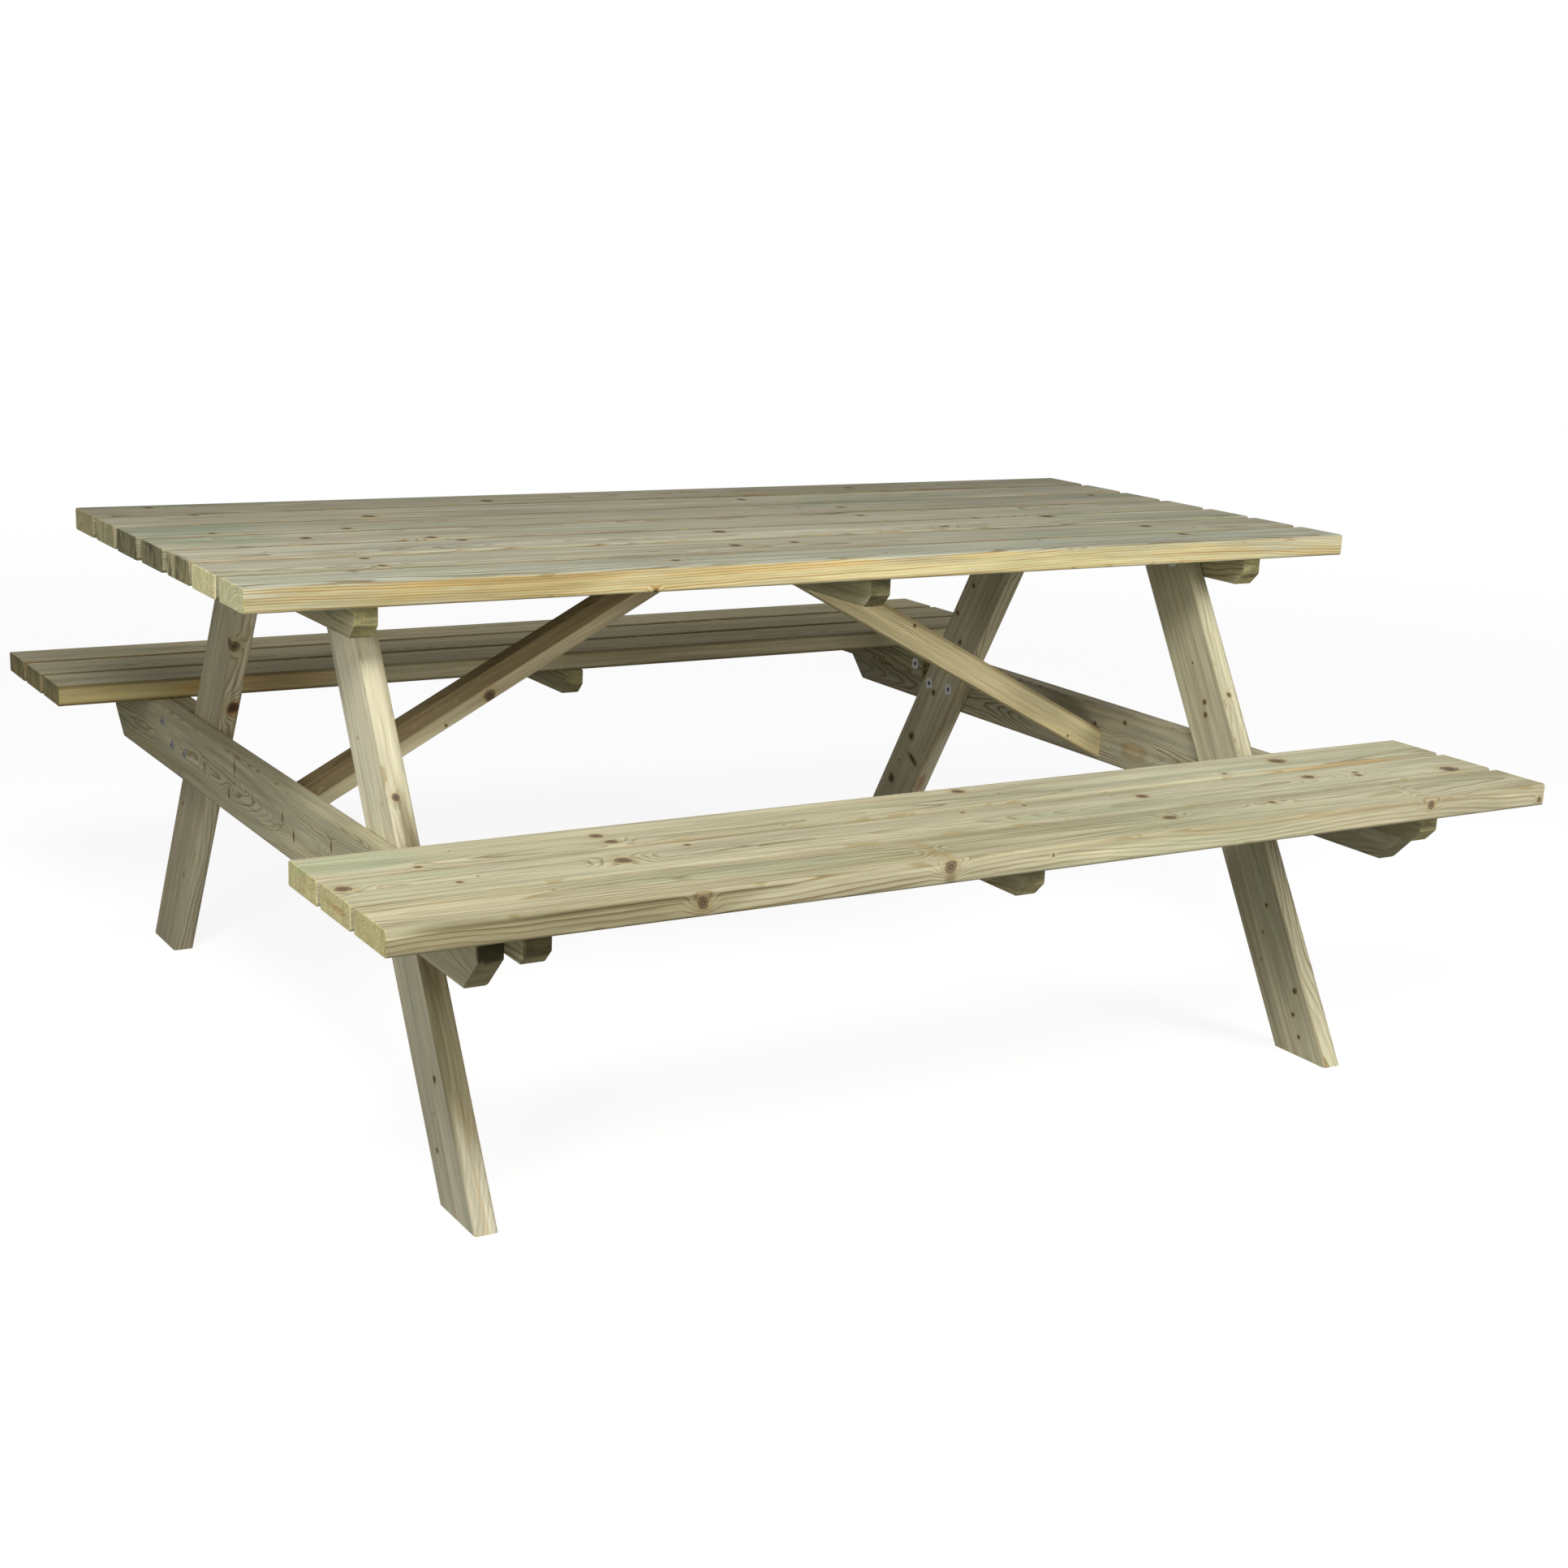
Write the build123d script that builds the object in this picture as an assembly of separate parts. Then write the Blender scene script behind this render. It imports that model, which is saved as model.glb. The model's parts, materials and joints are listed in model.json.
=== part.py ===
"""A-frame timber picnic table: boards, battens, braces and their fasteners.

Frame: origin on the ground under the middle of the table, +X along the length,
+Y across from the front seat to the back seat, +Z up. Millimetres.
"""
from build123d import *
from math import atan2, cos, degrees, radians, sqrt, tan
import os

# ---- Board stock ----
BOARD_WIDTH = 96
BOARD_THICK = 32
BOARD_ARRIS = 4            # rounded long edges of a planed board
BATTEN_HEIGHT = 44         # a board ripped down its middle
BATTEN_ARRIS = 2
END_EASE = 0.8             # small chamfer round each sawn end

# ---- Overall layout ----
TABLE_LENGTH = 1780
TABLE_HEIGHT = 760
SEAT_HEIGHT = 462
SEAT_OUTER_Y = 839         # outer edge of a seat from the middle
TOP_GAP = 15               # between tabletop boards
SEAT_GAP = 9               # between seat boards
TOP_STAGGER = (1, 1, 2, 0, -2, -1, -1)    # sawn ends don't line up, front board first
SEAT_STAGGER = (1, 0, -1)

# ---- End frames ----
LEG_OUTER_X = 710          # outer face of the legs, where crossbeams and cleats lie
LEG_FOOT_Y = 673           # outer edge of a leg at the ground
LEG_HEAD_Y = 248           # outer edge of a leg under the tabletop
BEAM_HALF_LENGTH = 750
BEAM_BEVEL = 46
CLEAT_HALF_LENGTH = 360
BATTEN_BEVEL = 18
BLOCK_INNER_Y = 453
BLOCK_OUTER_Y = 810
SEAT_BATTEN_INNER_Y = 534

# ---- Middle of the table ----
TOP_BATTEN_X = 40          # centre of the middle batten, beside the braces' meeting point
BRACE_Y = 25               # each brace stands to its own side of the middle
BRACE_ANGLE = 28
BRACE_FOOT_Z = 339         # lower corner of a brace on the crossbeam

# ---- Bolts and tee nuts (M8) ----
BOLT_RADIUS = 4
BOLT_LENGTH = 60
BOLT_HEAD_RADIUS = 8
BOLT_HEAD_HEIGHT = 4
BOLT_SOCKET_RADIUS = 2.9
BOLT_SOCKET_DEPTH = 2.6
BOLT_HOLE_RADIUS = 4.4
TEE_FLANGE_RADIUS = 10.5
TEE_FLANGE_THICK = 1.5
TEE_BARREL_RADIUS = 5
TEE_BARREL_LENGTH = 11
TEE_BORE_RADIUS = 4.15
TEE_NOTCH_RADIUS = 2.2
TEE_PRONG = (1.2, 2.8, 6)  # thickness, width, length
TEE_PRONG_OFFSET = 7.6
BEAM_BOLT_YZ = ((366, 380), (428, 380), (477, 408))
CLEAT_BOLT_Y = (175, 229)

# ---- Countersunk screws ----
SCREW_HEAD_RADIUS = 4.8
SCREW_HEAD_DEPTH = 4
SCREW_SHANK_RADIUS = 2.4
SCREW_TIP_LENGTH = 5
SCREW_TIP_RADIUS = 0.4
SCREW_SLOT = (1.2, 5.2, 2.2)   # width, span and depth of each slot of the cross
SCREW_EDGE = 14            # from a board's edge to its screw
PLANK_SCREW = 68
BRACE_SCREW = 50
BRACE_HEAD_SCREW = 60
SCREW_SINK = 1             # how far a head lies below a sloping face
BRACE_FOOT_SCREW_Z = 356
BRACE_HEAD_SCREW_X = (20, 48)
CLEARANCE = 0.1            # between a fastener and the hole it sits in
HOLE_RUN_OUT = 40          # how far a hole's mouth is cleared behind a screw's head

# ---- Derived places ----
TOP_UNDERSIDE = TABLE_HEIGHT - BOARD_THICK
SEAT_UNDERSIDE = SEAT_HEIGHT - BOARD_THICK
BEAM_OUTER_X = LEG_OUTER_X + BOARD_THICK
LEG_INNER_X = LEG_OUTER_X - BOARD_THICK
BEAM_X = LEG_OUTER_X + BOARD_THICK / 2
LEG_X = LEG_OUTER_X - BOARD_THICK / 2
LEG_TILT = degrees(atan2(LEG_FOOT_Y - LEG_HEAD_Y, TOP_UNDERSIDE))
TOP_BATTEN_FACES = (TOP_BATTEN_X - BOARD_THICK / 2, TOP_BATTEN_X + BOARD_THICK / 2)
CLEAT_BOLT_Z = TOP_UNDERSIDE - BATTEN_HEIGHT / 2
CLEAT_ENDS = (-CLEAT_HALF_LENGTH, CLEAT_HALF_LENGTH)
BEAM_ENDS = (-BEAM_HALF_LENGTH, BEAM_HALF_LENGTH)
INWARD = (Align.CENTER, Align.CENTER, Align.MIN)     # a shape that starts at z = 0 and rises
OUTWARD = (Align.CENTER, Align.CENTER, Align.MAX)    # a shape that hangs below z = 0
SIDES = {"left": -1, "right": 1}
ROWS = {"front": -1, "back": 1}


def plain_board(length, width, thick, arris):
    """A board along X whose ends are still to be cut."""
    body = Box(length, width, thick)
    return fillet(body.edges().filter_by(Axis.X), arris)


def full_board():
    """A tabletop or seat board along X, with eased ends."""
    body = plain_board(TABLE_LENGTH, BOARD_WIDTH, BOARD_THICK, BOARD_ARRIS)
    ends = body.faces().filter_by(Axis.X)
    return chamfer(ends[0].edges() + ends[1].edges(), END_EASE)


def corner_cut(x_centre, y_end, z_low, size):
    """What a 45 degree cut takes off the lower corner of a batten's end."""
    side = size * sqrt(2)
    return Pos(x_centre, y_end, z_low) * Rot(45, 0, 0) * Box(2 * BOARD_THICK, side, side)


def cross_batten(x_centre, ends, z_top, height, arris, bevel, bevelled_ends):
    """A board on edge along Y between two ends, with its lower corners cut at bevelled_ends."""
    low, high = sorted(ends)
    on_edge = Rot(0, 0, 90) * Rot(90, 0, 0) * plain_board(high - low, height, BOARD_THICK, arris)
    body = Pos(x_centre, (low + high) / 2, z_top - height / 2) * on_edge
    for y_end in bevelled_ends:
        body -= corner_cut(x_centre, y_end, z_top - height, bevel)
    return body


def top_batten(x_centre):
    """A batten across the underside of the tabletop."""
    return cross_batten(
        x_centre, CLEAT_ENDS, TOP_UNDERSIDE, BATTEN_HEIGHT, BATTEN_ARRIS, BATTEN_BEVEL, CLEAT_ENDS)


def seat_batten(x_centre, ends, bevelled_ends):
    """A batten across the underside of a seat."""
    return cross_batten(
        x_centre, ends, SEAT_UNDERSIDE, BATTEN_HEIGHT, BATTEN_ARRIS, BATTEN_BEVEL, bevelled_ends)


def row_of_boards(first_y, count, gap, height, stagger):
    """Boards side by side along X, from first_y towards +Y, with their tops at height."""
    pitch = BOARD_WIDTH + gap
    boards = []
    for index in range(count):
        centre_y = first_y + BOARD_WIDTH / 2 + index * pitch
        place = Pos(stagger[index], centre_y, height - BOARD_THICK / 2)
        boards.append((place * full_board(), centre_y))
    return boards


def leg(side, row):
    """A sloping leg, cut flat on the ground and under the tabletop."""
    length = TOP_UNDERSIDE / cos(radians(LEG_TILT)) + 2 * BOARD_WIDTH
    stick = Rot(0, 90, 0) * plain_board(length, BOARD_WIDTH, BOARD_THICK, BOARD_ARRIS)
    half_span = BOARD_WIDTH / cos(radians(LEG_TILT)) / 2
    centre_y = (LEG_FOOT_Y + LEG_HEAD_Y) / 2 - half_span
    tilted = Rot(row * LEG_TILT, 0, 0) * stick
    placed = Pos(side * LEG_X, row * centre_y, TOP_UNDERSIDE / 2) * tilted
    between = Box(4 * BOARD_THICK, 2 * LEG_FOOT_Y, TOP_UNDERSIDE, align=INWARD)
    return placed & (Pos(side * LEG_X, row * centre_y, 0) * between)


def brace(side):
    """A diagonal from the crossbeam up to the tabletop beside the middle batten."""
    slope = tan(radians(BRACE_ANGLE))
    head_x = TOP_BATTEN_FACES[1] if side > 0 else -TOP_BATTEN_FACES[0]
    rise = BATTEN_HEIGHT / cos(radians(BRACE_ANGLE))
    length = 2 * LEG_OUTER_X
    stick = Rot(90, 0, 0) * plain_board(length, BATTEN_HEIGHT, BOARD_THICK, BATTEN_ARRIS)
    centre_z = BRACE_FOOT_Z + slope * LEG_OUTER_X / 2 + rise / 2
    tilted = Rot(0, BRACE_ANGLE, 0) * stick
    placed = Pos(LEG_OUTER_X / 2, -BRACE_Y, centre_z) * tilted
    corner = (Align.MIN, Align.CENTER, Align.MAX)
    room = Box(LEG_OUTER_X - head_x, 4 * BOARD_THICK, TOP_UNDERSIDE, align=corner)
    body = placed & (Pos(head_x, -BRACE_Y, TOP_UNDERSIDE) * room)
    return body if side > 0 else Rot(0, 0, 180) * body


def aimed(point, direction):
    """The location whose +Z runs from point along direction."""
    return Plane(origin=point, z_dir=direction).location


def turned(points):
    """A solid of revolution about Z from (radius, z) points that close on the axis."""
    outline = Plane.XZ * Polyline(*points, close=True)
    return revolve(make_face(outline), Axis.Z)


def screw(length):
    """A countersunk screw, head flush at z = 0 and its tip at z = length."""
    body = turned([
        (0, 0),
        (SCREW_HEAD_RADIUS, 0),
        (SCREW_SHANK_RADIUS, SCREW_HEAD_DEPTH),
        (SCREW_SHANK_RADIUS, length - SCREW_TIP_LENGTH),
        (SCREW_TIP_RADIUS, length),
        (0, length),
    ])
    width, span, depth = SCREW_SLOT
    slot = Box(width, span, 2 * depth)
    return body - slot - Rot(0, 0, 90) * slot


def screw_hole(length):
    """The hole for a screw, cleared behind its head."""
    head = SCREW_HEAD_RADIUS + CLEARANCE
    shank = SCREW_SHANK_RADIUS + CLEARANCE
    return turned([
        (0, -HOLE_RUN_OUT),
        (head, -HOLE_RUN_OUT),
        (head, 0),
        (shank, SCREW_HEAD_DEPTH),
        (shank, length + CLEARANCE),
        (0, length + CLEARANCE),
    ])


def bolt():
    """A domed furniture bolt, head on the -Z side of z = 0."""
    dome_radius = (BOLT_HEAD_RADIUS**2 + BOLT_HEAD_HEIGHT**2) / (2 * BOLT_HEAD_HEIGHT)
    dome = Pos(0, 0, dome_radius - BOLT_HEAD_HEIGHT) * Sphere(dome_radius)
    head = dome & Cylinder(BOLT_HEAD_RADIUS, BOLT_HEAD_HEIGHT, align=OUTWARD)
    shank = Cylinder(BOLT_RADIUS, BOLT_LENGTH, align=INWARD)
    socket = extrude(RegularPolygon(BOLT_SOCKET_RADIUS, 6), BOLT_SOCKET_DEPTH)
    return head + shank - Pos(0, 0, -BOLT_HEAD_HEIGHT) * socket


def prongs(spare=0):
    """The four prongs of a tee nut, or with spare the slots that they press into."""
    thick, width, length = TEE_PRONG
    prong = Box(thick + 2 * spare, width + 2 * spare, length + spare, align=INWARD)
    return [loc * prong for loc in PolarLocations(TEE_PRONG_OFFSET, 4)]


def tee_nut():
    """A pronged tee nut, flange on the -Z side of z = 0 and barrel towards +Z."""
    flange = Cylinder(TEE_FLANGE_RADIUS, TEE_FLANGE_THICK, align=OUTWARD)
    notch = Cylinder(TEE_NOTCH_RADIUS, 4 * TEE_FLANGE_THICK)
    for place in PolarLocations(TEE_FLANGE_RADIUS, 4):
        flange -= place * notch
    body = flange + Cylinder(TEE_BARREL_RADIUS, TEE_BARREL_LENGTH, align=INWARD)
    for prong in prongs():
        body += prong
    bore = Cylinder(TEE_BORE_RADIUS, 4 * TEE_BARREL_LENGTH)
    return body - bore


def tee_nut_pocket():
    """What a tee nut takes out of the wood: its barrel and its prongs."""
    depth = TEE_BARREL_LENGTH + CLEARANCE
    pocket = Cylinder(TEE_BARREL_RADIUS + CLEARANCE, depth, align=INWARD)
    for slot in prongs(CLEARANCE):
        pocket += slot
    return pocket


wood = {}          # node name -> solid
metal = {}         # node name -> list of separate solids
BOLT = bolt()
TEE_NUT = tee_nut()
TEE_POCKET = tee_nut_pocket()


def drill(names, cutter):
    """Take a hole out of each named piece of wood."""
    for name in names:
        wood[name] = wood[name] - cutter


def drive_screw(node, point, direction, length, names):
    """Put one screw into a node's group and drill the wood that it passes through."""
    place = aimed(point, direction)
    metal.setdefault(node, []).append(place * screw(length))
    drill(names, place * screw_hole(length))


def fit_bolt(group, side, y, z, outer_name, inner_name):
    """Bolt an outer piece to the piece inside it, with a tee nut on the inner face."""
    inward = (-side, 0, 0)
    outward = (side, 0, 0)
    head_place = aimed((side * BEAM_OUTER_X, y, z), inward)
    nut_place = aimed((side * LEG_INNER_X, y, z), outward)
    metal.setdefault(f"{group}_bolts", []).append(head_place * BOLT)
    metal.setdefault(f"{group}_tee_nuts", []).append(nut_place * TEE_NUT)
    shaft = Cylinder(BOLT_HOLE_RADIUS, 4 * BOARD_THICK)
    drill([outer_name, inner_name], head_place * shaft)
    drill([inner_name], nut_place * TEE_POCKET)


def make_boards():
    """The tabletop and the two seats."""
    top_count = len(TOP_STAGGER)
    top_width = top_count * BOARD_WIDTH + (top_count - 1) * TOP_GAP
    tops = row_of_boards(-top_width / 2, top_count, TOP_GAP, TABLE_HEIGHT, TOP_STAGGER)
    plan = {"tabletop": [], "front_seat": [], "back_seat": []}
    for number, (solid, centre_y) in enumerate(tops, start=1):
        wood[f"tabletop_board_{number}"] = solid
        plan["tabletop"].append((f"tabletop_board_{number}", centre_y))
    seat_count = len(SEAT_STAGGER)
    seat_width = seat_count * BOARD_WIDTH + (seat_count - 1) * SEAT_GAP
    for row_name, first_y in (("front", -SEAT_OUTER_Y), ("back", SEAT_OUTER_Y - seat_width)):
        seats = row_of_boards(first_y, seat_count, SEAT_GAP, SEAT_HEIGHT, SEAT_STAGGER)
        for number, (solid, centre_y) in enumerate(seats, start=1):
            wood[f"{row_name}_seat_board_{number}"] = solid
            plan[f"{row_name}_seat"].append((f"{row_name}_seat_board_{number}", centre_y))
    return plan


def make_end_frames():
    """Legs, crossbeams, top cleats and seat blocks at both ends."""
    for side_name, side in SIDES.items():
        wood[f"{side_name}_crossbeam"] = cross_batten(
            side * BEAM_X, BEAM_ENDS, SEAT_UNDERSIDE, BOARD_WIDTH, BOARD_ARRIS, BEAM_BEVEL, BEAM_ENDS)
        wood[f"{side_name}_top_cleat"] = top_batten(side * BEAM_X)
        for row_name, row in ROWS.items():
            outer = row * BLOCK_OUTER_Y
            wood[f"{row_name}_{side_name}_leg"] = leg(side, row)
            wood[f"{row_name}_{side_name}_seat_block"] = seat_batten(
                side * LEG_X, (row * BLOCK_INNER_Y, outer), (outer,))


def make_middle():
    """The middle battens and the two braces."""
    wood["middle_top_batten"] = top_batten(TOP_BATTEN_X)
    for row_name, row in ROWS.items():
        ends = (row * SEAT_BATTEN_INNER_Y, row * BLOCK_OUTER_Y)
        wood[f"{row_name}_seat_batten"] = seat_batten(0, ends, ends)
    for side_name, side in SIDES.items():
        wood[f"{side_name}_brace"] = brace(side)


def screw_spots(centre_y, flat):
    """Where two screws go through the stretch of a batten that lies under a board."""
    flat_low, flat_high = sorted(flat)
    low = max(centre_y - BOARD_WIDTH / 2, flat_low) + SCREW_EDGE
    high = min(centre_y + BOARD_WIDTH / 2, flat_high) - SCREW_EDGE
    return (low, high)


def screw_boards_down(node, boards, batten_name, x, z_top, flat):
    """Screws up through a batten into every board that lies on it."""
    for board_name, centre_y in boards:
        for y in screw_spots(centre_y, flat):
            point = (x, y, z_top - BATTEN_HEIGHT)
            drive_screw(node, point, (0, 0, 1), PLANK_SCREW, [batten_name, board_name])


def fasten_tabletop(boards):
    """Screws through both cleats and the middle batten into the tabletop."""
    flat = CLEAT_HALF_LENGTH - BATTEN_BEVEL
    battens = (
        ("left", "left_top_cleat", -BEAM_X),
        ("middle", "middle_top_batten", TOP_BATTEN_X),
        ("right", "right_top_cleat", BEAM_X),
    )
    for place_name, batten_name, x in battens:
        node = f"{place_name}_tabletop_screws"
        screw_boards_down(node, boards, batten_name, x, TOP_UNDERSIDE, (-flat, flat))


def fasten_seats(plan):
    """Screws through the blocks and the middle batten into each seat."""
    for row_name, row in ROWS.items():
        boards = plan[f"{row_name}_seat"]
        outer = row * (BLOCK_OUTER_Y - BATTEN_BEVEL)
        middle_flat = (row * (SEAT_BATTEN_INNER_Y + BATTEN_BEVEL), outer)
        node = f"{row_name}_seat_middle_screws"
        screw_boards_down(node, boards, f"{row_name}_seat_batten", 0, SEAT_UNDERSIDE, middle_flat)
        block_flat = (row * BLOCK_INNER_Y, outer)
        for side_name, side in SIDES.items():
            node = f"{row_name}_seat_{side_name}_screws"
            block_name = f"{row_name}_{side_name}_seat_block"
            screw_boards_down(node, boards, block_name, side * LEG_X, SEAT_UNDERSIDE, block_flat)


def bolt_end_frames():
    """Bolts through each crossbeam and cleat into the legs and blocks."""
    for side_name, side in SIDES.items():
        beam_name = f"{side_name}_crossbeam"
        cleat_name = f"{side_name}_top_cleat"
        for row_name, row in ROWS.items():
            leg_name = f"{row_name}_{side_name}_leg"
            inner_names = (leg_name, leg_name, f"{row_name}_{side_name}_seat_block")
            for (y, z), inner_name in zip(BEAM_BOLT_YZ, inner_names):
                fit_bolt(beam_name, side, row * y, z, beam_name, inner_name)
            for y in CLEAT_BOLT_Y:
                fit_bolt(cleat_name, side, row * y, CLEAT_BOLT_Z, cleat_name, leg_name)


def fasten_braces(boards):
    """Screws at the foot and at the head of each brace."""
    for side_name, side in SIDES.items():
        foot = (side * BEAM_OUTER_X, -side * BRACE_Y, BRACE_FOOT_SCREW_Z)
        names = [f"{side_name}_crossbeam", f"{side_name}_brace"]
        drive_screw(f"{side_name}_brace_screws", foot, (-side, 0, 0), BRACE_SCREW, names)
    head = (TOP_BATTEN_FACES[0], -BRACE_Y, CLEAT_BOLT_Z)
    names = ["middle_top_batten", "right_brace"]
    drive_screw("right_brace_screws", head, (1, 0, 0), BRACE_HEAD_SCREW, names)
    middle_board = boards[len(boards) // 2][0]
    slope = tan(radians(BRACE_ANGLE))
    for x in BRACE_HEAD_SCREW_X:
        under_side = BRACE_FOOT_Z + slope * (LEG_OUTER_X - x + SCREW_HEAD_RADIUS)
        point = (-x, BRACE_Y, under_side + SCREW_SINK)
        drive_screw("left_brace_screws", point, (0, 0, 1), BRACE_SCREW, ["left_brace", middle_board])


def write_parts():
    """One STEP file per node, each group of fasteners as separate solids."""
    os.makedirs("parts", exist_ok=True)
    for name, solid in wood.items():
        export_step(solid, f"parts/{name}.step")
    for name, solids in metal.items():
        export_step(Compound(children=solids), f"parts/{name}.step")


board_plan = make_boards()
make_end_frames()
make_middle()
bolt_end_frames()
fasten_tabletop(board_plan["tabletop"])
fasten_seats(board_plan)
fasten_braces(board_plan["tabletop"])
write_parts()
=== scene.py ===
"""Looks for the picnic table: pressure-treated softwood with zinc-plated fasteners.

Every piece of timber is coloured by a solid texture in its own grain coordinates: x runs along
the grain, y across the wide face and z through the thickness, in metres from the piece's middle.
Growth rings are cylinders round a pith, so faces, edges and sawn ends show one continuous figure.
"""
import json
import math
import random
from typing import NamedTuple

import bpy
from mathutils import Matrix, Vector

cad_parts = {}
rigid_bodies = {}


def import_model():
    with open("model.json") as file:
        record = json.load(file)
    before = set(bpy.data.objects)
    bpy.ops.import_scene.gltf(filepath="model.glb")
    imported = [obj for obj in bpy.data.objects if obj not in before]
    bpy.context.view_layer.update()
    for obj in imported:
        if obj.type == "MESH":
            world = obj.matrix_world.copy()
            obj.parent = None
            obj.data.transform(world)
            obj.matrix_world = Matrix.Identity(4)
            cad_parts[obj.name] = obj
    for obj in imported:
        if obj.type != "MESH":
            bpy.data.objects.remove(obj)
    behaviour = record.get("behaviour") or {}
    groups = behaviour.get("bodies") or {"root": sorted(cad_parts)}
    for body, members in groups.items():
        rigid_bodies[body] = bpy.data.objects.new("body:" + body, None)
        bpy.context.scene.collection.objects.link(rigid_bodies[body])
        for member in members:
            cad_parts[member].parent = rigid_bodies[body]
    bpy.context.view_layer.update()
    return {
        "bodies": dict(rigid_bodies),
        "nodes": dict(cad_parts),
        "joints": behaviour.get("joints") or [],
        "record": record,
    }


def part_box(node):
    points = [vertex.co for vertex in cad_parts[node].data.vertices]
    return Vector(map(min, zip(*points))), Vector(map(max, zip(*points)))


# ---- Camera ----
CAMERA_PLACE = (-1.7875, -3.1309, 1.2388)
CAMERA_YAW = 0.5414          # radians from +Y towards +X
CAMERA_PITCH = -0.2593
CAMERA_ROLL = 0.0399
CAMERA_LENS = 54.44
SENSOR_WIDTH = 36
CAMERA_SHIFT = (0.0069, 0.0273)

# ---- Studio ----
# (name, place, size, watts), all facing LIGHT_AIM
LIGHTS = (
    ("key", (-1.6, -2.4, 2.9), 1.2, 84),
    ("front_right", (1.5, -2.4, 1.4), 1.2, 30),
    ("left_low", (-2.4, -1.7, 1.1), 0.7, 15),
)
LIGHT_AIM = (0.0, -0.3, 0.5)
FILL_STRENGTH = 0.20
FLOOR_SIZE = 120
FLOOR_GLOW = 0.87            # keeps the floor near white where the camera sees it
FLOOR_COLOUR = (0.28, 0.28, 0.28)
FLOOR_BOUNCE_COLOUR = (0.30, 0.30, 0.29)
FLOOR_FADE = (2.2, 6.0)      # metres from the middle over which the floor turns to backdrop

# ---- Timber ----
LEG_TILT = math.radians(30.28)
BRACE_ANGLE = math.radians(28)
RINGS_PER_METRE = 400
FULL_HALF_WIDTH = 48         # mm; boards, legs and crossbeams
RIPPED_HALF_WIDTH = 22       # mm; battens, cleats, blocks and braces
NO_KNOT_NEAR = 99.0          # core radii; further than any knot shows
GRAIN_BUMP_STRENGTH = 0.35
GRAIN_BUMP_DISTANCE = 0.0006
TIMBER_SPECULAR = 0.3

# Tints multiplied into the pale wood or into the colour below them
GREY_LINE = (0.52, 0.46, 0.36)
ORANGE_LINE = (0.80, 0.52, 0.27)
BROWN_STREAK = (0.80, 0.67, 0.50)
DAMP_STAIN = (0.74, 0.87, 0.84)
# darkens the arrises: grime, and painted shade in the gaps between boards
ARRIS_GRIME_AND_SHADE = (0.42, 0.39, 0.31)
SHADY_EDGE = (0.42, 0.36, 0.26)
TORN_FIBRE = (0.58, 0.50, 0.34)
CUT_END = (1.0, 0.96, 0.72)
KNOT_HALO = (0.80, 0.66, 0.46)

# Cutter marks across the grain
CUTTER_WAVE = 1350           # radians per metre
CUTTER_DEPTH = 0.04          # share of the brightness

# ---- Bolts: metres from the table's middle ----
BOLT_HEAD_SEAT = 0.742       # the outer faces that bolt heads sit on
NUT_FLANGE_SEAT = 0.678      # the inner faces that tee-nut flanges sit on
# painted shade down inside the holes
HOLE_SHADE_TONE = 0.06             # brightness of zinc down inside a hole
DULL_ZINC_TONE = 0.82


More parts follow.
